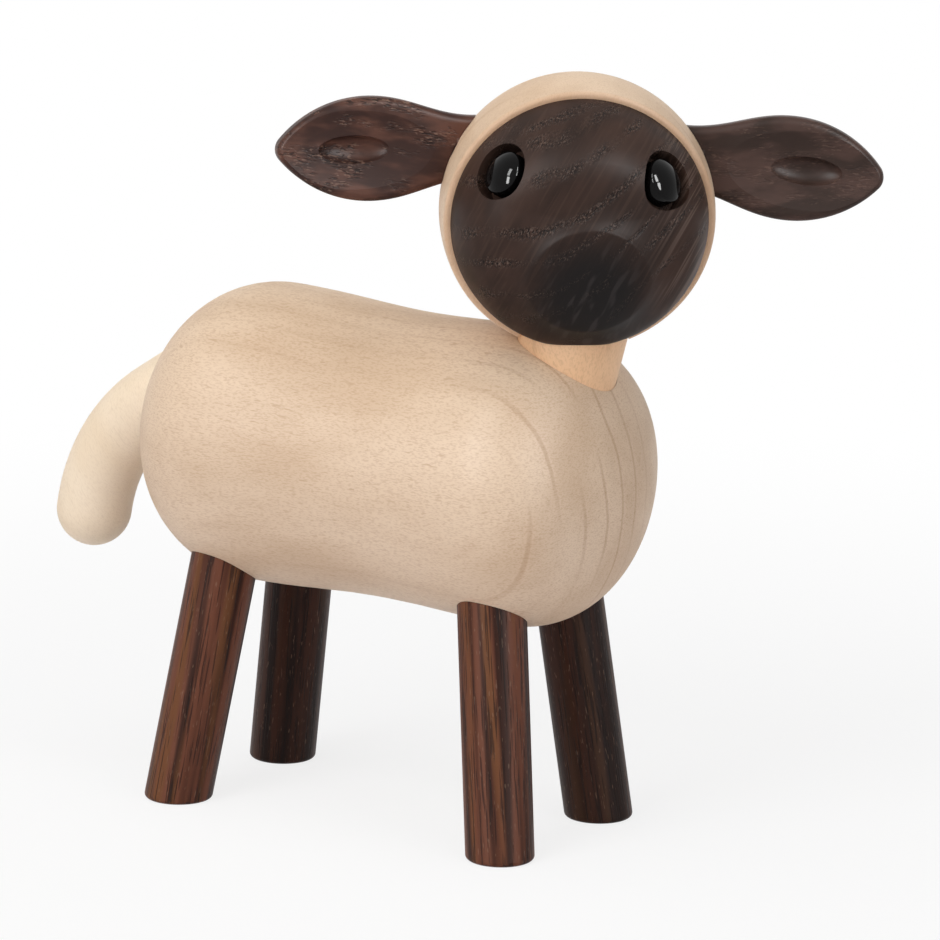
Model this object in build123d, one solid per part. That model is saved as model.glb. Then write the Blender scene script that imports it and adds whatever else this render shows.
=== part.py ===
from build123d import *
import math
import os

# A turned wooden sheep on four splayed dowel legs. Millimetres, +Z up, +X the way
# the body faces, +Y the sheep's left. The floor is z = 0 and the origin is the
# bottom centre of the box round the whole figure, which the turned head and the
# tail push off the middle of the feet.
feet_middle_x = -5.96
feet_middle_y = 1.29

# Fits between the pieces
glue_gap = 0.05
turning_clearance = 0.08
seat_gap = 0.1

# Body: one turned maple log with a slight waist, its ends domed by two arcs each
body_rear_length = 59.9
body_front_length = 58.5
body_axis_height = 80.5
rear_radius = 33.2
waist_radius = 31.6
waist_forward = 2.0
front_radius = 32.5
rear_dome_length = 27.0
rear_dome_crown = 44.0
front_dome_length = 24.1
front_dome_crown = 45.0

# Legs: straight dowels, splayed fore and aft and outwards
leg_diameter = 15.0
nose_down = 1.25
foot_reach = 42.3
foot_spread = 20.6
splay_along = 0.138
splay_across = 0.095
leg_top_below_axis = 14.0
foot_rounding = 1.0
leg_top_chamfer = 0.6

# Head: a maple hood turned about the line the face looks along, glued on the neck
# with its face dropped and tilted a little; head and neck turn together
head_forward = 43.1
head_above_axis = 59.9
head_radius = 29.4
head_turn = -54.0
face_drop = 7.8
face_tilt = 1.6
hood_front_depth = 8.2
hood_rim_radius = 28.8
hood_rim_rounding = 1.1

# Neck: a plug that widens upwards, turns in the body and is glued in the head
neck_radius = 12.4
neck_flare_top = 25.0
neck_flare_bottom = 42.0
neck_foot_radius = 8.8
neck_height_in_head = 15.0
spigot_radius = 5.0
spigot_length = 11.0
ring_section = 2.0
ring_squeeze = 0.25
ring_below_flare = 5.0

# Face: a dark block shaped as the front of the ball, with a blunt muzzle between two
# hollow cheeks
face_base_radius = 27.4
face_radius = 29.0
muzzle_drop = 16.0
muzzle_reach = 26.2
muzzle_softness = 3.0
cheek_radius = 15.0
cheek_depth = 3.6
cheek_yaw = 41.0
cheek_drop = 12.0

# Eyes: gloss buttons on a stem, each in a wider round bore square to the face; the
# pair sits a little round to the sheep's right
eye_radius = 4.8
eye_crown_radius = 8.0
eye_edge_below_face = 1.7
eye_edge_rounding = 0.4
eye_bore_radius = 6.1
eye_bore_depth = 4.6
eye_yaw = 45.6
eye_pair_yaw = -2.7
eye_rise = 29.4
eye_stem_radius = 1.3
eye_stem_length = 4.0

# Ears: carved leaves with a tenon, dished and hollowed in front
ear_length = 38.4
ear_half_width = 11.1
ear_widest_at = 18.4
ear_tip_radius = 3.4
ear_root_half_width = 6.6
ear_root_inside = 5.0
ear_thickness = 5.6
ear_edge_rounding = 1.7
ear_root_up = 11.3
ear_root_back = 4.6
ear_droop = 1.3
ear_sweep = 8.0
ear_twist = 12.0
ear_tenon_radius = 3.5
ear_tenon_length = 9.0
ear_hollow_half_length = 7.4
ear_hollow_half_width = 3.0
ear_hollow_depth = 2.0
ear_hollow_at = 22.0
ear_dish_half_length = 17.0
ear_dish_half_width = 8.4
ear_dish_depth = 1.0

# Tail: a thick rod bent down in an arc, its end rounded
tail_radius = 8.5
tail_bend_radius = 40.0
tail_leave_angle = 34.5
tail_bend_angle = 48.0
tail_root_x = -61.3
tail_root_above_axis = 4.7
tail_straight = 4.0
tail_seat_depth = 12.0

os.makedirs("parts", exist_ok=True)


def dome_join(length, radius, crown):
    """Where the shoulder and crown arcs of an end meet, from the end's start and middle line."""
    shoulder = (length**2 + radius**2 - 2 * length * crown) / (2 * (radius - crown))
    run = crown - length
    rise = radius - shoulder
    span = math.copysign(math.hypot(run, rise), crown - shoulder)
    return length - crown + crown * run / span, crown * rise / span


def turned_body():
    """The body's solid, turned about the line that runs along its middle."""
    rear_step, rear_join = dome_join(rear_dome_length, rear_radius, rear_dome_crown)
    front_step, front_join = dome_join(front_dome_length, front_radius, front_dome_crown)
    rear_start = rear_dome_length - body_rear_length
    front_start = body_front_length - front_dome_length
    rear_crown_arc = TangentArc(
        (-body_rear_length, 0), (rear_start - rear_step, rear_join), tangent=(0, 1)
    )
    rear_shoulder_arc = TangentArc(
        rear_crown_arc @ 1, (rear_start, rear_radius), tangent=rear_crown_arc % 1
    )
    waist = Spline(
        (rear_start, rear_radius),
        (waist_forward, waist_radius),
        (front_start, front_radius),
        tangents=((1, 0), (1, 0)),
    )
    front_crown_arc = TangentArc(
        (body_front_length, 0), (front_start + front_step, front_join), tangent=(0, 1)
    )
    front_shoulder_arc = TangentArc(
        front_crown_arc @ 1, (front_start, front_radius), tangent=front_crown_arc % 1
    )
    middle = Line((-body_rear_length, 0), (body_front_length, 0))
    outline = Wire(
        [
            rear_crown_arc,
            rear_shoulder_arc,
            waist,
            front_shoulder_arc,
            front_crown_arc,
            middle,
        ]
    )
    log = revolve(make_face(outline), Axis.X)
    return Pos(0, 0, body_axis_height) * log


def leg_place(end, side):
    """The frame at a foot's centre, with Z up along the leg."""
    upward = Vector(-end * splay_along, -side * splay_across, 1)
    foot = Vector(end * foot_reach, side * foot_spread, 0)
    return Plane(origin=foot, z_dir=upward, x_dir=(1, 0, 0)).location


def leg_rod(end, side, radius, extra):
    """A rod along a leg's line from below the floor to the leg's top and a bit more."""
    slope = math.sqrt(1 + splay_along**2 + splay_across**2)
    top = (body_axis_height - leg_top_below_axis) * slope + extra
    below = leg_diameter
    rod = Pos(0, 0, (top - below) / 2) * Cylinder(radius, top + below)
    return leg_place(end, side) * rod


def standing(shape):
    """A piece of the level figure, tipped nose down as the cut legs let it stand."""
    return Rot(0, nose_down, 0) * shape


def leg(end, side):
    """One dowel leg, standing, sawn level at the floor and rounded over there."""
    rod = leg_rod(end, side, leg_diameter / 2, 0)
    rod = chamfer(rod.edges().sort_by(Axis.Z)[-1], leg_top_chamfer)
    room = 4 * body_axis_height
    below_floor = Pos(0, 0, -room / 2) * Box(room, room, room)
    rod = standing(rod) - below_floor
    return fillet(rod.edges().sort_by(Axis.Z)[0], foot_rounding)


def head_place():
    """The head's own frame: centre of the ball, Z up the turning axis, X ahead."""
    return Pos(head_forward, 0, body_axis_height + head_above_axis) * Rot(0, 0, head_turn)


def face_place():
    """The face's frame inside the head's own frame, with X along the way the face looks."""
    return Rot(0, face_drop, 0) * Rot(-face_tilt, 0, 0)


def hood_blank(growth=0.0):
    """The hood's outside, turned about the way the face looks and cut off flat in front."""
    back = math.sqrt(0.5) * (head_radius + growth)
    back_arc = ThreePointArc(
        (-head_radius - growth, 0), (-back, back), (0, head_radius + growth)
    )
    band = TangentArc(
        (0, head_radius + growth), (hood_front_depth, hood_rim_radius + growth), tangent=(1, 0)
    )
    cut = Line((hood_front_depth, hood_rim_radius + growth), (hood_front_depth, 0))
    middle = Line((hood_front_depth, 0), (-head_radius - growth, 0))
    return revolve(make_face(Wire([back_arc, band, cut, middle])), Axis.X)


def neck_bore(radius):
    """The neck's straight upper part, from below the ball to its seat inside."""
    height = 2 * head_radius
    return Pos(0, 0, -neck_height_in_head - height / 2) * Cylinder(radius, height)


def neck_plug(growth, foot_growth):
    """The neck as a solid of its turning axis, or grown by a clearance for its socket."""
    spigot_end = neck_flare_bottom + spigot_length
    points = [
        (0, -neck_height_in_head),
        (neck_radius + growth, -neck_height_in_head),
        (neck_radius + growth, -neck_flare_top),
        (neck_foot_radius + growth, -neck_flare_bottom - growth),
        (spigot_radius + growth, -neck_flare_bottom - growth),
        (spigot_radius + growth, -spigot_end - foot_growth),
        (0, -spigot_end - foot_growth),
    ]
    outline = Polyline(*points, close=True)
    face = Plane.XZ * make_face(outline)
    return revolve(face, Axis.Z)


def ring_height():
    """How far below the ball's centre the friction ring sits."""
    return neck_flare_bottom + ring_below_flare


def ring_middle_radius():
    """The radius of the line along the middle of the friction ring."""
    return spigot_radius + turning_clearance - ring_section / 2


def friction_ring():
    """A rubber ring in its groove on the spigot, squeezed flat where it meets the socket."""
    ring = Torus(ring_middle_radius() + ring_squeeze, ring_section / 2)
    socket_wall = Cylinder(spigot_radius + turning_clearance - glue_gap / 2, 2 * ring_section)
    return Pos(0, 0, -ring_height()) * (ring & socket_wall)


def neck():
    """The neck plug with the groove for its friction ring."""
    plug = neck_plug(0, 0)
    groove = Torus(ring_middle_radius() + ring_squeeze, ring_section / 2 + glue_gap)
    return plug - Pos(0, 0, -ring_height()) * groove


def eye_place(side):
    """The frame on the ball's surface at an eye, with Z out of the face."""
    yaw = side * eye_yaw + eye_pair_yaw
    return Rot(0, 0, yaw) * Rot(0, 90 - eye_rise, 0) * Pos(0, 0, face_radius)


def eye(side):
    """A turned button with a low crown, a flat back on the bore's floor and a stem."""
    sagitta = eye_crown_radius - math.sqrt(eye_crown_radius**2 - eye_radius**2)
    edge = -eye_edge_below_face
    back = -eye_bore_depth
    crown = RadiusArc((eye_radius, edge), (0, edge + sagitta), -eye_crown_radius)
    points = [
        crown @ 1,
        (0, back - eye_stem_length),
        (eye_stem_radius, back - eye_stem_length),
        (eye_stem_radius, back),
        (eye_radius, back),
        crown @ 0,
    ]
    outline = make_face((crown + Polyline(*points)).edges())
    rim = outline.vertices().sort_by(Axis.X)[-2:].sort_by(Axis.Y)[-1]
    outline = fillet(rim, eye_edge_rounding)
    return face_place() * eye_place(side) * revolve(Plane.XZ * outline, Axis.Z)


def eye_bore(side):
    """What is drilled out of the face for one eye and its stem."""
    mouth = 2 * eye_radius
    bore = Pos(0, 0, (mouth - eye_bore_depth) / 2) * Cylinder(eye_bore_radius, mouth + eye_bore_depth)
    depth = eye_stem_length + glue_gap
    bore += Pos(0, 0, -eye_bore_depth - depth / 2) * Cylinder(eye_stem_radius + glue_gap, depth)
    return eye_place(side) * bore


def face_blank():
    """The face's turned blank: a cap of a ball behind a flat joint with the hood."""
    back = hood_front_depth + glue_gap
    middle = back - math.sqrt(face_radius**2 - face_base_radius**2)
    crown = math.sqrt(0.5) * face_radius
    joint = Line((back, 0), (back, face_base_radius))
    dome = ThreePointArc(joint @ 1, (middle + crown, crown), (middle + face_radius, 0))
    return revolve(make_face(Wire([joint, dome, Line(dome @ 1, joint @ 0)])), Axis.X)


def face():
    """The dark face block: the front of the ball, a blunt muzzle and hollow cheeks."""
    block = face_blank()
    room = 4 * face_radius
    block -= Rot(0, muzzle_drop, 0) * Pos(muzzle_reach + room / 2, 0, 0) * Box(room, room, room)
    muzzle_edge = block.edges().filter_by(lambda e: e.center().X > hood_front_depth + glue_gap)
    muzzle_edge = muzzle_edge.filter_by(GeomType.CIRCLE)
    block = fillet(muzzle_edge, muzzle_softness)
    for side in (1, -1):
        away = face_radius + cheek_radius - cheek_depth
        scoop = Rot(0, 0, side * cheek_yaw) * Rot(0, cheek_drop, 0) * Pos(away, 0, 0)
        block -= scoop * Sphere(cheek_radius)
    for side in (1, -1):
        block -= eye_bore(side)
    block = face_place() * block
    return block - neck_bore(neck_radius + glue_gap)


def ear_place(side):
    """The frame at an ear's root: X along the ear, Z out of its dished front."""
    out = math.sqrt(head_radius**2 - ear_root_up**2 - ear_root_back**2)
    root = Pos(-ear_root_back, side * out, ear_root_up)
    along = Rot(0, 0, side * (90 - ear_sweep)) * Rot(0, ear_droop, 0)
    return root * along * Rot(side * (90 - ear_twist), 0, 0)


def ear_outline():
    """The leaf seen from the front, from inside the ball to its rounded tip."""
    edges = []
    for side in (1, -1):
        widening = Spline(
            (-ear_root_inside, side * ear_root_half_width),
            (ear_widest_at, side * ear_half_width),
            tangents=((1, 0), (1, 0)),
        )
        step, join = dome_join(ear_length - ear_widest_at, ear_half_width, ear_tip_radius)
        flank = TangentArc(
            widening @ 1, (ear_widest_at + step, side * join), tangent=widening % 1
        )
        tip = TangentArc(flank @ 1, (ear_length, 0), tangent=flank % 1)
        edges += [widening, flank, tip]
    edges.append(Line(edges[0] @ 0, edges[3] @ 0))
    return make_face(Wire(edges))


def oval_scoop(half_length, half_width, depth, surface):
    """A lengthwise oval gouge cut, of a given size at its mouth, below a level of the ear."""
    round_radius = (half_width**2 + depth**2) / (2 * depth)
    long_radius = half_length * round_radius / half_width
    arc = EllipticalCenterArc((0, 0), long_radius, round_radius, arc_size=180)
    oval = revolve(make_face(Wire([arc, Line(arc @ 1, arc @ 0)])), Axis.X)
    return Pos(0, 0, surface - depth + round_radius) * oval


def ear(side):
    """One leaf-shaped ear with its tenon, resting on the ball."""
    leaf = extrude(ear_outline(), ear_thickness / 2, both=True)
    rim = leaf.edges().filter_by(lambda e: abs(e.center().Z) > ear_thickness / 4)
    rim = rim.filter_by(lambda e: e.center().X > -ear_thickness)
    leaf = fillet(rim, ear_edge_rounding)
    surface = ear_thickness / 2
    dish = oval_scoop(ear_dish_half_length, ear_dish_half_width, ear_dish_depth, surface)
    hollow = oval_scoop(
        ear_hollow_half_length, ear_hollow_half_width, ear_hollow_depth, surface - ear_dish_depth
    )
    leaf -= Pos(ear_hollow_at, 0, 0) * dish
    leaf -= Pos(ear_hollow_at, 0, 0) * hollow
    tenon = Pos(-ear_tenon_length / 2, 0, 0) * Rot(0, 90, 0)
    tenon = tenon * Cylinder(ear_tenon_radius, ear_tenon_length)
    leaf = ear_place(side) * leaf - hood_blank(glue_gap)
    leaf = leaf.solids().sort_by(SortBy.VOLUME)[-1]
    return face_place() * (leaf + ear_place(side) * tenon)


def ear_bore(side):
    """The blind bore for an ear's tenon."""
    depth = ear_tenon_length + seat_gap
    bore = Pos(-depth / 2 + ear_tenon_radius, 0, 0) * Rot(0, 90, 0)
    bore = bore * Cylinder(ear_tenon_radius + glue_gap, depth + 2 * ear_tenon_radius)
    return ear_place(side) * bore


def hood():
    """The maple hood: rim rounded, bored for the neck and the ears."""
    blank = hood_blank()
    rim = blank.edges().sort_by(Axis.X)[-1]
    blank = fillet(rim, hood_rim_rounding)
    for side in (1, -1):
        blank -= ear_bore(side)
    return face_place() * blank - neck_bore(neck_radius + glue_gap)


def tail_path(reach_inside):
    """The tail's middle line, from inside the body to the middle of its round end."""
    angle = math.radians(tail_leave_angle)
    leave = Vector(-math.cos(angle), 0, -math.sin(angle))
    root = Vector(tail_root_x, 0, body_axis_height + tail_root_above_axis)
    straight = Line(root - leave * reach_inside, root + leave * tail_straight)
    in_plane = Plane(origin=straight @ 1, z_dir=(0, -1, 0), x_dir=(1, 0, 0))
    start = (0, 0)
    tangent = (leave.X, leave.Z)
    bend = JernArc(start=start, tangent=tangent, radius=tail_bend_radius, arc_size=tail_bend_angle)
    return straight, in_plane * bend


def tail():
    """The bent tail rod with its round end."""
    straight, bend = tail_path(tail_seat_depth)
    profile = Plane(origin=straight @ 0, z_dir=straight % 0) * Circle(tail_radius)
    rod = sweep(profile, path=straight)
    bent_profile = Plane(origin=bend @ 0, z_dir=bend % 0) * Circle(tail_radius)
    rod += sweep(bent_profile, path=bend)
    end = bend @ 1
    return rod + Pos(end.X, end.Y, end.Z) * Sphere(tail_radius)


def tail_bore():
    """The blind bore for the tail's root."""
    depth = tail_seat_depth + seat_gap
    straight, _ = tail_path(depth)
    length = depth + 2 * tail_radius
    at = Plane(origin=straight @ 0, z_dir=straight % 0).location
    return at * Pos(0, 0, length / 2) * Cylinder(tail_radius + glue_gap, length)


def body():
    """The body with its bores for the legs, the neck and the tail."""
    log = turned_body()
    for end in (1, -1):
        for side in (1, -1):
            log -= leg_rod(end, side, leg_diameter / 2 + glue_gap, seat_gap)
    log -= head_place() * neck_plug(turning_clearance, seat_gap)
    return log - tail_bore()


def save(name, shape):
    """Write one piece, moved from the middle of the feet to the figure's own frame."""
    placed = Pos(feet_middle_x, feet_middle_y, 0) * shape
    placed.label = name
    export_step(placed, os.path.join("parts", name + ".step"))


save("body", standing(body()))
save("tail", standing(tail()))
for end, end_name in ((1, "front"), (-1, "rear")):
    for side, side_name in ((1, "left"), (-1, "right")):
        save("leg_" + end_name + "_" + side_name, leg(end, side))
head_stands = standing(head_place())
save("neck", head_stands * neck())
save("neck_friction_ring", head_stands * friction_ring())
save("head_hood", head_stands * hood())
save("face", head_stands * face())
for side, side_name in ((1, "left"), (-1, "right")):
    save("ear_" + side_name, head_stands * ear(side))
    save("eye_" + side_name, head_stands * eye(side))
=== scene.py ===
# A sheep figurine of turned and carved wood: pale maple body, neck, hood and tail, smoked oak face and ears,
# walnut legs, and black lacquered eyes. Sizes are in mm unless a line says otherwise.
import math

import bmesh
import bpy
from mathutils import Matrix, Vector

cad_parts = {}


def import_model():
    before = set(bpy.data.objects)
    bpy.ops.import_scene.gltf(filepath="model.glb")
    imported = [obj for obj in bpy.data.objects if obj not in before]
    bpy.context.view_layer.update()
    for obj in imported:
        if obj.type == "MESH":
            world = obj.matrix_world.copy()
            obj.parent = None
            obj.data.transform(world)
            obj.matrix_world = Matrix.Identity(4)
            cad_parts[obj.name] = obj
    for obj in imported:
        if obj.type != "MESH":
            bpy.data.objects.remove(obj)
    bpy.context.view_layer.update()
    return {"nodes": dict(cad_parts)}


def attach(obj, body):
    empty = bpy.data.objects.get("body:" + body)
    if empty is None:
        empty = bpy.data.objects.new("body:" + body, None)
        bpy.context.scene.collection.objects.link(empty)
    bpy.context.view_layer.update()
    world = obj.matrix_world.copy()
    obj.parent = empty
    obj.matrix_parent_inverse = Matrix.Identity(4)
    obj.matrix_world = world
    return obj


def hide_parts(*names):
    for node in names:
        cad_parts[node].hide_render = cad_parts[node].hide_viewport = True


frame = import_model()

MM = 0.001

# Camera, fitted to the photograph
camera_place = Vector((691.48, -1072.18, 368.35)) * MM
camera_aim = Vector((15.16, -0.18, 79.56)) * MM
camera_roll = math.radians(0.813)
lens_length = 229.5
sensor_width = 36.0

# The head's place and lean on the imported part, at rest
feet_middle = (-5.96, 1.29, 0)
stance_pitch = 1.25
head_place = (43.1, 0, 140.4)
head_turn = -54.0
face_drop = 7.8
face_tilt = 1.6

# Face and eyes
joint_ahead = 8.25
joint_radius = 27.4
face_reach = 33.0
snout_yaw = 2.95
snout_rise = -15.6
snout_reach = 28.6
snout_radius = 13.4
snout_roundness = 75.0
cove_radius = 6.0
cove_floor = 25.2
cove_flare = 4.0
snout_softness = 2.6
brow_softness = 6.0
softness_above = 6.0
face_subdivisions = 7
least_reach = 4.0
past_dome = 2.0
halvings = 22
merge_distance = 1e-4
neck_bore_radius = 12.45
neck_bore_span = (-60, -15)
# Each eye's turn to the left, its rise and how far its bore splays outwards, in degrees
eye_places = {"left": (47.4, 33.1, 8.0), "right": (-54.0, 31.7, -8.0)}
eye_bore_radius = 6.3
eye_bore_depth = 4.6
cutter_height = 8
eye_radius = 4.85
eye_crown = 7.5
eye_edge_below = 1.0
eye_rim = 0.35
eye_foot_bevel = 0.2
crown_steps = 24
turning_steps = 96
sharp_angle = math.radians(35)

# Grain of the face, seen along face_out. Its rows of pores are hyperbolas with a flat arm to the left and a
# steep arm to the right. Each row has a height above the head's centre and a half width.
face_right = (0.843983, 0.536192, 0.013835)
face_up = (-0.130521, 0.180291, 0.974915)
face_out = (0.510297, -0.841085, 0.179366)
face_grain = (0.311366, 0.425364, 0.849775)
row_middle = -2.9
row_bend = 14.5
row_lean = 0.4
row_rise = 0.7
row_wander = 5.0
pore_rows = ((7.8, 1.1), (3.9, 1.3), (-3.7, 1.3), (-14.3, 1.1), (-20.6, 0.9), (-27, 0.6), (-31.6, 0.9), (-39, 0.8))
# How far below the snout's front the middle of its painted shade lies
snout_shade_drop = 3.0

# How far the legs lean fore and aft, and outwards, for each unit of height
leg_lean = 0.138
leg_splay = 0.095

# Studio, in metres. Levels are shares of full white, and white_near to white_far is where the floor turns white.
floor_size = 12
white_near = 0.1
white_far = 0.42
least_white = 0.8
light_level = 0.31
lamp_aim = Vector((0, 0, 0.09))
softbox_distance = 1.3
strip_distance = 1.4
strip_size = (0.2, 0.5)


def srgb(hex_colour):
    """The linear colour of an sRGB hex value."""
    channels = [int(hex_colour[i:i + 2], 16) / 255 for i in (1, 3, 5)]
    linear = [c / 12.92 if c <= 0.04045 else ((c + 0.055) / 1.055) ** 2.4 for c in channels]
    return (*linear, 1.0)


def add(tree, kind, inputs=(), output=0, **settings):
    """Adds a node with its settings and links, and gives one of its outputs. inputs holds a value or another
    node's output for each socket, in order or by the socket's name or number."""
    node = tree.nodes.new("ShaderNode" + kind)
    for name, value in settings.items():
        setattr(node, name, value)
    for socket, value in inputs.items() if isinstance(inputs, dict) else enumerate(inputs):
        if isinstance(value, bpy.types.NodeSocket):
            tree.links.new(value, node.inputs[socket])
        else:
            node.inputs[socket].default_value = value
    return node.outputs[output] if node.outputs else None


def new_material(name):
    """An empty node material and its tree."""
    material = bpy.data.materials.new(name)
    material.use_nodes = True
    material.node_tree.nodes.clear()
    return material, material.node_tree


def finish_node(node_name, material):
    """Gives a carried-over piece its material."""
    piece = frame["nodes"][node_name]
    piece.data.materials.clear()
    piece.data.materials.append(material)


# Woods
def grain_frame(tree, along, radial, origin=(0, 0, 0)):
    """Object coordinates in mm, turned so that X runs along the grain and Z points the given way."""
    x_axis = Vector(along).normalized()
    z_axis = (Vector(radial) - x_axis * x_axis.dot(Vector(radial))).normalized()
    turn = Matrix((x_axis, z_axis.cross(x_axis), z_axis))
    return add(tree, "Mapping", {
        "Vector": add(tree, "TexCoord", output="Object"), "Location": -(turn @ Vector(origin)),
        "Rotation": turn.to_euler(), "Scale": (1 / MM, 1 / MM, 1 / MM)})


def reach_along(tree, centre, way):
    """How far a point lies from a centre along a direction, in mm."""
    offset = add(tree, "VectorMath", [add(tree, "TexCoord", output="Object"), Vector(centre) * MM],
                 operation="SUBTRACT")
    return add(tree, "VectorMath", [offset, Vector(way) / MM], "Value", operation="DOT_PRODUCT")


def figure(tree, grain, sizes, detail=1.0, roughness=0.5):
    """The wood's cloudy figure, with patches of the given sizes in mm along, across and out of the grain."""
    place = add(tree, "VectorMath", [grain, [1 / size for size in sizes]], operation="MULTIPLY")
    return add(tree, "TexNoise", {"Vector": place, "Scale": 1, "Detail": detail, "Roughness": roughness}, "Fac")


def streaks(tree, grain, sizes, low, high, least=0.0, most=1.0, detail=1.0, roughness=0.5):
    """A figure that fades in from least, where it is low, to most, where it is high."""
    return add(tree, "MapRange", [figure(tree, grain, sizes, detail, roughness), low, high, least, most],
               interpolation_type="SMOOTHSTEP")


def stain(tree, wood, mask, strength, tone):
    """Lays a tone over the wood's colour where a mask shows it. Each colour is a hex value or an output."""
    wood, tone = (srgb(colour) if isinstance(colour, str) else colour for colour in (wood, tone))
    share = add(tree, "Math", [mask, strength], operation="MULTIPLY")
    return add(tree, "Mix", {0: share, 6: wood, 7: tone}, 2, data_type="RGBA")


def sanded(tree, colour, roughness, specular, pores, depth):
    """The wood's surface: sanded and oiled, with its pores sunk by a depth in mm."""
    height = add(tree, "Math", [pores, -1.0], operation="MULTIPLY")
    relief = add(tree, "Bump", {"Height": height, "Strength": 1.0, "Distance": depth * MM})
    surface = add(tree, "BsdfPrincipled", {
        "Base Color": colour, "Roughness": roughness, "IOR": 1.45, "Specular IOR Level": specular, "Normal": relief})
    add(tree, "OutputMaterial", {"Surface": surface})


def maple(name, along, radial, pale="#e6ccb0", deep="#d7ba9c", line="#ab7b52", ring_width=6.0, ring_share=0.3,
          fleck_share=0.52, ring_zone=None, lip_shade=None):
    """Maple, turned, sanded and oiled. It gives a pale, warm ground with soft clouds, thin faint lines where
    the growth rings are cut, and dense short brown flecks. Real pores are under 0.1 mm wide, so the flecks
    are drawn 0.3 to 0.5 mm wide to show. ring_zone is how far from the middle plane the rings show, and from
    where to where along the grain they fade in. lip_shade is painted shade, darker and warmer, on a rim towards
    its front edge: its frame's centre, its way ahead, where its tone starts and ends, and the tone."""
    material, tree = new_material(name)
    grain = grain_frame(tree, along, radial)
    depth = add(tree, "SeparateXYZ", [grain], "Z")
    bent = add(tree, "Math", [figure(tree, grain, (90, 40, 40), 2), 7.0, depth], operation="MULTIPLY_ADD")
    turn = add(tree, "Math", [bent, 2 * math.pi / ring_width], operation="MULTIPLY")
    wave = add(tree, "Math", [turn], operation="COSINE")
    rings = add(tree, "MapRange", [wave, 0.84, 1.0, 0.0, ring_share], interpolation_type="SMOOTHSTEP")
    rings = streaks(tree, grain, (70, 30, 12), 0.4, 0.6, most=rings)
    if ring_zone:
        half_depth, plain_to, full_from = ring_zone
        off_middle = add(tree, "Math", [depth], operation="ABSOLUTE")
        rings = add(tree, "MapRange", [off_middle, 0.55 * half_depth, half_depth, rings, 0.0],
                    interpolation_type="SMOOTHSTEP")
        length = add(tree, "SeparateXYZ", [grain], "X")
        shown = add(tree, "MapRange", [length, plain_to, full_from, 0.3, 1.0], interpolation_type="SMOOTHSTEP")
        rings = add(tree, "Math", [rings, shown], operation="MULTIPLY")
    ground = stain(tree, pale, streaks(tree, grain, (60, 22, 18), 0.36, 0.66, detail=3), 1.0, deep)
    ground = stain(tree, ground, rings, 1.0, line)
    patches = streaks(tree, grain, (26, 14, 14), 0.38, 0.62, least=0.225, most=0.75, detail=2)
    flecks = streaks(tree, grain, (0.9, 0.26, 0.4), 0.47, 0.68, most=0.46)
    for longer in (streaks(tree, grain, (1.7, 0.34, 0.7), 0.58, 0.72, most=0.6),
                   streaks(tree, grain, (2.8, 0.5, 1.2), 0.64, 0.74, most=patches)):
        flecks = add(tree, "Math", [flecks, longer], operation="MAXIMUM")
    flecks = add(tree, "Math", [flecks, fleck_share], operation="MULTIPLY")
    colour = stain(tree, ground, flecks, 1.0, line)
    # Painted shade: the rim turns darker and warmer towards its front edge
    if lip_shade:
        centre, ahead, start, end, tone = lip_shade
        rim = add(tree, "MapRange", [reach_along(tree, centre, ahead), start, end, 0.0, 1.0],
                  interpolation_type="SMOOTHSTEP")
        colour = stain(tree, colour, rim, 0.55, tone)
    sanded(tree, colour, 0.5, 0.25, flecks, 0.05)
    return material


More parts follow.
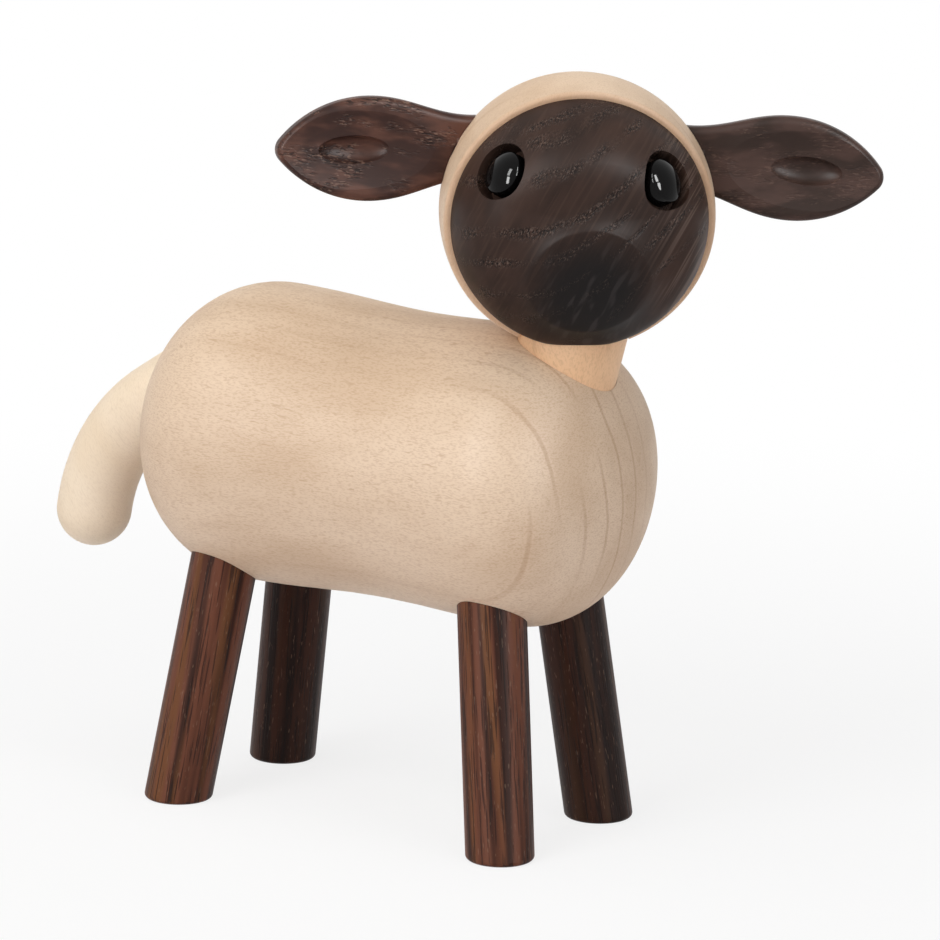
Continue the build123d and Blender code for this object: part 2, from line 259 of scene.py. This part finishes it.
def smoked_face():
    """Smoked oak, flat sawn and sanded. It gives a grey brown ground with curved rows of open pores, steep
    grain streaks on the right flank that are lightened there as a painted highlight, and a darker, plainer snout
    whose darkness is painted shade. Oak's pores are 0.2 to 0.4 mm wide and are drawn so."""
    material, tree = new_material("smoked_oak_face")
    grain = grain_frame(tree, face_grain, face_out, head_centre)
    across = reach_along(tree, head_centre, face_right)
    aside = add(tree, "Math", [across, row_middle], operation="SUBTRACT")
    bend = add(tree, "Math", [aside, aside, row_bend ** 2], operation="MULTIPLY_ADD")
    bend = add(tree, "Math", [bend], operation="SQRT")
    bend = add(tree, "Math", [bend, row_rise], operation="MULTIPLY")
    curve = add(tree, "Math", [aside, row_lean, bend], operation="MULTIPLY_ADD")
    row = add(tree, "Math", [reach_along(tree, head_centre, face_up), curve], operation="SUBTRACT")
    row = add(tree, "Math", [figure(tree, grain, (13, 8, 8), 2), row_wander, row], operation="MULTIPLY_ADD")
    rows = 0.0
    for height, half_width in pore_rows:
        off_row = add(tree, "Math", [row, height + row_wander / 2], operation="SUBTRACT")
        off_row = add(tree, "Math", [off_row], operation="ABSOLUTE")
        near_row = add(tree, "MapRange", [off_row, 0.1 * half_width, 1.7 * half_width, 1.0, 0.0],
                       interpolation_type="SMOOTHSTEP")
        rows = add(tree, "Math", [rows, near_row], operation="MAXIMUM")
    patches = streaks(tree, grain, (9, 6, 8), 0.36, 0.6, least=0.15, detail=2)
    rows = add(tree, "Math", [rows, patches], operation="MULTIPLY")
    ground = stain(tree, "#2d1f19", streaks(tree, grain, (20, 7, 10), 0.35, 0.66, detail=3), 1.0, "#3d2b23")
    ground = stain(tree, ground, streaks(tree, grain, (24, 0.7, 6), 0.5, 0.75, detail=2), 0.3, "#523e34")
    # Painted highlight: steep grain streaks on the right flank, lightened there
    right_flank_highlight = add(tree, "MapRange", [across, 13, 24, 0.0, 1.0], interpolation_type="SMOOTHSTEP")
    ground = stain(tree, ground, streaks(tree, grain, (30, 0.55, 14), 0.5, 0.64, most=right_flank_highlight), 0.6, "#6d5a50")
    # Painted shade: the snout is darkened, and fewer pores show there
    snout_shade_middle = snout_front - Vector(face_up) * snout_shade_drop
    from_snout = add(tree, "CombineXYZ", [reach_along(tree, snout_shade_middle, way) for way in (face_right, face_up)])
    from_snout = add(tree, "VectorMath", [from_snout], "Value", operation="LENGTH")
    painted_snout_shade = add(tree, "MapRange", [from_snout, 6.0, 17.0, 1.0, 0.0], interpolation_type="SMOOTHSTEP")
    snout_shade_tone = stain(tree, "#151313", streaks(tree, grain, (9, 1.5, 6), 0.56, 0.7), 0.6, "#363130")
    ground = stain(tree, ground, painted_snout_shade, 0.92, snout_shade_tone)
    closed = add(tree, "Math", [painted_snout_shade, -0.75, 1.0], operation="MULTIPLY_ADD")
    rows = add(tree, "Math", [rows, closed], operation="MULTIPLY")
    pores = streaks(tree, grain, (0.8, 0.34, 0.7), 0.46, 0.58, most=rows)
    dust = streaks(tree, grain, (0.55, 0.28, 0.6), 0.56, 0.64, most=rows)
    colour = stain(tree, ground, pores, 0.85, "#100b09")
    colour = stain(tree, colour, dust, 0.38, "#8a7467")
    sanded(tree, colour, 0.5, 0.12, pores, 0.12)
    return material


def smoked_leaf(name, along, radial, dark, light, pore_share):
    """Smoked oak ear, carved and sanded. It gives a warm dark brown with clusters of short open pores along
    the grain, and smooth wood between them. Its pores are drawn 0.4 mm wide."""
    material, tree = new_material(name)
    grain = grain_frame(tree, along, radial)
    ground = stain(tree, dark, streaks(tree, grain, (14, 5, 5), 0.38, 0.62, detail=3), 1.0, light)
    patches = streaks(tree, grain, (9, 5, 4), 0.44, 0.58, most=pore_share, detail=2)
    pores = streaks(tree, grain, (2.0, 0.42, 0.7), 0.52, 0.62, most=patches)
    dust = streaks(tree, grain, (1.3, 0.36, 0.6), 0.57, 0.67, most=patches)
    colour = stain(tree, ground, pores, 0.8, "#1e1310")
    colour = stain(tree, colour, dust, 0.45, "#9a7a69")
    sanded(tree, colour, 0.42, 0.15, pores, 0.08)
    return material


def striped_dowel(name, along, dark, light, warm_tone):
    """Dark walnut dowel, sanded. It gives straight lengthwise stripes of dark, red and orange brown, 1 to 3 mm
    wide, with thin pore grooves. The grooves are really 0.2 mm wide and are drawn 0.4 mm wide to show."""
    material, tree = new_material(name)
    grain = grain_frame(tree, along, (1, -1, 0))
    ground = stain(tree, dark, streaks(tree, grain, (160, 3.0, 3.0), 0.36, 0.62, roughness=0.6), 1.0, light)
    ground = stain(tree, ground, streaks(tree, grain, (110, 4.2, 4.2), 0.52, 0.66), 0.7, warm_tone)
    grooves = streaks(tree, grain, (14, 0.42, 0.42), 0.57, 0.66)
    specks = streaks(tree, grain, (2.2, 0.36, 0.36), 0.66, 0.74)
    colour = stain(tree, ground, grooves, 0.7, "#1f1411")
    colour = stain(tree, colour, specks, 0.24, "#a5846d")
    sanded(tree, colour, 0.42, 0.12, grooves, 0.12)
    return material


def lacquered_eye():
    """Black lacquer on turned wood: near black, with small, sharp reflections."""
    material, tree = new_material("black_lacquer_eye")
    surface = add(tree, "BsdfPrincipled", {
        "Base Color": srgb("#0a0909"), "Roughness": 0.05, "IOR": 1.4, "Specular IOR Level": 0.16})
    add(tree, "OutputMaterial", {"Surface": surface})
    return material


def moulded_rubber():
    """Black rubber, moulded: a matt, dark ring inside the body."""
    material, tree = new_material("black_rubber_ring")
    surface = add(tree, "BsdfPrincipled", {"Base Color": srgb("#1c1c1c"), "Roughness": 0.8})
    add(tree, "OutputMaterial", {"Surface": surface})
    return material


# Face and eyes. The dome, snout and cove are finer than the solid's, and the eyes sit as the photograph shows.
def direction(yaw, rise):
    """A unit vector ahead, turned to the left by yaw and raised by rise, in degrees."""
    yaw, rise = math.radians(yaw), math.radians(rise)
    return Vector((math.cos(yaw) * math.cos(rise), math.sin(yaw) * math.cos(rise), math.sin(rise)))


head_frame = (Matrix.Translation(feet_middle) @ Matrix.Rotation(math.radians(stance_pitch), 4, "Y")
              @ Matrix.Translation(head_place))
face_frame = (head_frame @ Matrix.Rotation(math.radians(head_turn), 4, "Z")
              @ Matrix.Rotation(math.radians(face_drop), 4, "Y") @ Matrix.Rotation(math.radians(-face_tilt), 4, "X"))
head_centre = face_frame.translation
head_ahead = face_frame.to_3x3() @ Vector((1, 0, 0))
dome_ahead = (face_reach**2 - joint_ahead**2 - joint_radius**2) / (2 * (face_reach - joint_ahead))
dome_radius = face_reach - dome_ahead
dome_centre = Vector((dome_ahead, 0, 0))
snout_way = direction(snout_yaw, snout_rise)
snout_front = face_frame @ (snout_way * snout_reach)


def softened(first, second, reach):
    """The greater of two heights, rounded where they meet."""
    nearness = max(reach - abs(first - second), 0) / reach
    return max(first, second) + nearness**2 * reach / 4


def over_face(point):
    """How far a point of the face's frame lies outside its surface: a dome, cut back around the snout by a
    cove. The edges above the snout are softer than those below it, the brow's by a third of that."""
    ahead = point.dot(snout_way)
    offset = point - snout_way * ahead
    aside = offset.length
    softer = softness_above * min(max(offset.z / snout_radius, 0), 1)
    above_snout = cove_floor + cove_radius - snout_reach
    ring = snout_radius + math.sqrt(cove_radius**2 - above_snout**2)
    into = cove_radius**2 - (aside - ring) ** 2
    if into > 0:
        cove = cove_floor + cove_radius - math.sqrt(into)
    else:
        cove = cove_floor + cove_radius + cove_flare * max(aside - ring - cove_radius, 0)
    level = -softened(aside**2 / (2 * snout_roundness) - snout_reach, -cove, snout_softness + softer)
    dome = (point - dome_centre).length - dome_radius
    return softened(dome, ahead - level, brow_softness + softer / 3)


def on_face(way):
    """The point of the face's surface that lies in a direction from the dome's centre, found by halving."""
    near, far = least_reach, dome_radius + past_dome
    for _ in range(halvings):
        middle = (near + far) / 2
        if over_face(dome_centre + way * middle) > 0:
            far = middle
        else:
            near = middle
    return dome_centre + way * near


def new_piece(name, mesh_data):
    """An object from a bmesh in mm, with its faces turned outward and its points in metres."""
    bmesh.ops.scale(mesh_data, vec=(MM, MM, MM), verts=mesh_data.verts)
    bmesh.ops.recalc_face_normals(mesh_data, faces=mesh_data.faces)
    mesh = bpy.data.meshes.new(name)
    mesh_data.to_mesh(mesh)
    mesh_data.free()
    piece = bpy.data.objects.new(name, mesh)
    bpy.context.scene.collection.objects.link(piece)
    return piece


def turned(outline, place):
    """A bmesh spun about Z from (radius, height) points that start and end on the axis, then placed."""
    mesh_data = bmesh.new()
    points = [mesh_data.verts.new((radius, 0, height)) for radius, height in outline]
    edges = [mesh_data.edges.new(pair) for pair in zip(points, points[1:])]
    bmesh.ops.spin(mesh_data, geom=points + edges, cent=(0, 0, 0), axis=(0, 0, 1), dvec=(0, 0, 0),
                   angle=2 * math.pi, steps=turning_steps, use_merge=True)
    bmesh.ops.remove_doubles(mesh_data, verts=mesh_data.verts, dist=merge_distance)
    bmesh.ops.transform(mesh_data, matrix=place, verts=mesh_data.verts)
    return mesh_data


def bore(name, radius, low, high, place):
    """A round cutter along Z."""
    return new_piece(name, turned([(0, low), (radius, low), (radius, high), (0, high)], place))


def eye_frame(side):
    """The frame in the middle of an eye's mouth, with Z out along its bore."""
    yaw, rise, splay = eye_places[side]
    outward = direction(yaw, rise)
    along_bore = Matrix.Rotation(math.radians(splay), 3, "Z") @ outward
    return face_frame @ Matrix.Translation(on_face(outward)) @ along_bore.to_track_quat("Z", "Y").to_matrix().to_4x4()


def face_piece():
    """The dark face: a dome with its soft snout and cove, bored for the eyes and the neck."""
    mesh_data = bmesh.new()
    bmesh.ops.create_icosphere(mesh_data, subdivisions=face_subdivisions, radius=1)
    for point in mesh_data.verts:
        point.co = on_face(point.co.normalized())
    joint = bmesh.ops.bisect_plane(mesh_data, geom=mesh_data.verts[:] + mesh_data.edges[:] + mesh_data.faces[:],
                                   plane_co=(joint_ahead, 0, 0), plane_no=(-1, 0, 0), clear_outer=True)
    rim = [part for part in joint["geom_cut"] if isinstance(part, bmesh.types.BMEdge)]
    bmesh.ops.holes_fill(mesh_data, edges=rim, sides=0)
    bmesh.ops.transform(mesh_data, matrix=face_frame, verts=mesh_data.verts)
    piece = new_piece("smoked_face", mesh_data)
    cutters = [bore("eye_bore", eye_bore_radius, -eye_bore_depth, cutter_height, eye_frame(side))
               for side in eye_places]
    cutters.append(bore("neck_bore", neck_bore_radius, *neck_bore_span, head_frame))
    for cutter in cutters:
        cut = piece.modifiers.new("bore", "BOOLEAN")
        cut.object = cutter
        cut.operation = "DIFFERENCE"
        cut.solver = "EXACT"
    cut_mesh = bpy.data.meshes.new_from_object(piece.evaluated_get(bpy.context.evaluated_depsgraph_get()))
    piece.modifiers.clear()
    piece.data = cut_mesh
    for cutter in cutters:
        bpy.data.objects.remove(cutter)
    return piece


def eye_piece(side):
    """A gloss button with a domed crown, its back on the floor of its bore."""
    crown_top = eye_crown - math.sqrt(eye_crown**2 - eye_radius**2) - eye_edge_below
    half = math.asin((eye_radius - eye_rim / 2) / eye_crown)
    outline = [(0, -eye_bore_depth), (eye_radius - eye_foot_bevel, -eye_bore_depth),
               (eye_radius, eye_foot_bevel - eye_bore_depth), (eye_radius, -eye_edge_below - eye_rim)]
    for step in range(crown_steps):
        angle = half * (1 - step / crown_steps)
        outline.append((eye_crown * math.sin(angle), crown_top - eye_crown + eye_crown * math.cos(angle)))
    outline.append((0, crown_top))
    return new_piece(f"gloss_eye_{side}", turned(outline, eye_frame(side)))


def dress(piece, node_name, material):
    """Shades a new piece smooth up to its sharp edges and lets it stand for its node."""
    piece.data.shade_smooth()
    piece.data.set_sharp_from_angle(angle=sharp_angle)
    piece.data.materials.clear()
    piece.data.materials.append(material)
    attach(piece, "head")
    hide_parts(node_name)


finish_node("body", maple("oiled_maple_body", (1, 0, 0), (0, 1, 0.12), ring_share=0.34, ring_zone=(26, 20, 45)))
# The neck's more orange tone is painted warm shade under the head
finish_node("neck", maple("oiled_maple_neck", (0, 0, 1), (0.9, 0.4, 0), pale="#f8cda2", deep="#e9b88a",
                          fleck_share=0.36, ring_width=8, ring_share=0.5))
# The hood's rim gets painted shade, darker and warmer where it meets the face
finish_node("head_hood", maple("oiled_maple_hood", (0.3, 0.1, 1), (-0.3, 0.9, 0), ring_width=9, ring_share=0.2,
                               fleck_share=0.35, lip_shade=(head_centre, head_ahead, 7.2, 8.2, "#c99b74")))
finish_node("tail", maple("pale_maple_tail", (-0.6, 0, 1), (0, 1, 0), pale="#fae6cb", deep="#f1dabb",
                          line="#bd9d77", ring_share=0.0, fleck_share=0.25))
# The left side's ear is darker and has fewer pores. The left side's legs are darker as painted shade on the far side
ear_tones = {"left": ("#33251f", "#4c3831", 0.3), "right": ("#38231d", "#5f3e32", 1.0)}
leg_tones_far_shaded = {"left": ("#22130e", "#41271d", "#4a3020"), "right": ("#33190f", "#6d412f", "#744a2c")}
for side, sign in (("left", 1), ("right", -1)):
    away = face_frame.to_3x3() @ Vector((0, sign, 0.1))
    finish_node(f"ear_{side}", smoked_leaf(f"smoked_oak_ear_{side}", away, head_ahead, *ear_tones[side]))
    dress(eye_piece(side), f"eye_{side}", lacquered_eye())
    for end, fore in (("front", 1), ("rear", -1)):
        along = (-fore * leg_lean, -sign * leg_splay, 1)
        finish_node(f"leg_{end}_{side}", striped_dowel(f"dark_walnut_leg_{end}_{side}", along, *leg_tones_far_shaded[side]))
dress(face_piece(), "face", smoked_face())
finish_node("neck_friction_ring", moulded_rubber())


# Studio
def seen(tree):
    """1 for rays that see or mirror the studio, 0 for those that only gather its light."""
    rays = [add(tree, "LightPath", output=f"Is {kind} Ray") for kind in ("Camera", "Glossy", "Transmission")]
    mirrored = add(tree, "Math", rays[:2], operation="MAXIMUM")
    return add(tree, "Math", [mirrored, rays[2]], operation="MAXIMUM")


def floor():
    """A plain white floor. It reads as white where no shadow lies on it, and it keeps the figurine's shadow."""
    bpy.ops.mesh.primitive_plane_add(size=floor_size)
    plane = bpy.context.object
    plane.name = "studio_floor"
    material, tree = new_material("white_studio_floor")
    shown = seen(tree)
    card = add(tree, "BsdfDiffuse", {"Color": stain(tree, "#f3f4fc", shown, 1.0, "#f2f2f2")})
    white = add(tree, "Emission", {"Color": srgb("#ffffff"), "Strength": 1.0})
    away = add(tree, "VectorMath", [add(tree, "TexCoord", output="Object")], "Value", operation="LENGTH")
    whitened = add(tree, "MapRange", [away, white_near, white_far, least_white, 1.0],
                   interpolation_type="SMOOTHSTEP")
    share = add(tree, "Math", [shown, whitened], operation="MULTIPLY")
    add(tree, "OutputMaterial", {"Surface": add(tree, "MixShader", [share, card, white])})
    plane.data.materials.append(material)


def world():
    """White all round: full white where it is seen or mirrored, dimmer where it lights the figurine."""
    surround = bpy.data.worlds.new("white_surround")
    surround.use_nodes = True
    tree = surround.node_tree
    tree.nodes.clear()
    strength = add(tree, "MapRange", [seen(tree), 0.0, 1.0, light_level, 1.0])
    background = add(tree, "Background", {"Color": (1, 1, 1, 1), "Strength": strength})
    add(tree, "OutputWorld", {"Surface": background})
    bpy.context.scene.world = surround


def view_matrix(place, aim, roll=0.0):
    """A camera's or lamp's matrix at place, looking at aim."""
    back = (place - aim).normalized()
    level = Vector((0, 0, 1)).cross(back).normalized()
    up = back.cross(level)
    right = level * math.cos(roll) + up * math.sin(roll)
    top = up * math.cos(roll) - level * math.sin(roll)
    matrix = Matrix((right, top, back)).transposed().to_4x4()
    matrix.translation = place
    return matrix


def lamp(name, azimuth, elevation, distance, size, level, mirrored, lights):
    """A softbox, in metres. level is the share of full white that it gives a white card facing it."""
    data = bpy.data.lights.new(name, "AREA")
    data.shape = "RECTANGLE"
    data.size, data.size_y = size
    data.energy = level * math.pi ** 2 * distance ** 2
    light = bpy.data.objects.new(name, data)
    light.visible_glossy = mirrored
    light.visible_diffuse = lights
    bpy.context.scene.collection.objects.link(light)
    light.matrix_world = view_matrix(lamp_aim + direction(azimuth, elevation) * distance, lamp_aim)


camera_data = bpy.data.cameras.new("camera")
camera_data.lens = lens_length
camera_data.sensor_width = sensor_width
camera = bpy.data.objects.new("camera", camera_data)
camera.matrix_world = view_matrix(camera_place, camera_aim, camera_roll)
bpy.context.scene.collection.objects.link(camera)
bpy.context.scene.camera = camera
bpy.context.scene.view_settings.view_transform = "Standard"

# Softboxes light the wood, and strips are only mirrored in it. Each has its name, its degrees to the camera's
# right, its elevation, a softbox's width and height, and its level.
camera_azimuth = math.degrees(math.atan2(camera_place.y, camera_place.x))
softboxes = (("softbox_left", -40, 36, (0.6, 0.8), 0.44), ("softbox_right", 42, 32, (0.5, 0.9), 0.13),
             ("softbox_top", -20, 78, (0.9, 0.9), 0.33))
strips = (("strip_left_low", -42, 17, 0.95), ("strip_left_high", -45, 41, 0.6),
          ("strip_right_low", 44, 17, 0.95), ("strip_right_high", 41, 41, 0.95))
for name, aside, elevation, size, level in softboxes:
    lamp(name, camera_azimuth + aside, elevation, softbox_distance, size, level, mirrored=False, lights=True)
for name, aside, elevation, level in strips:
    lamp(name, camera_azimuth + aside, elevation, strip_distance, strip_size, level, mirrored=True, lights=False)
floor()
world()
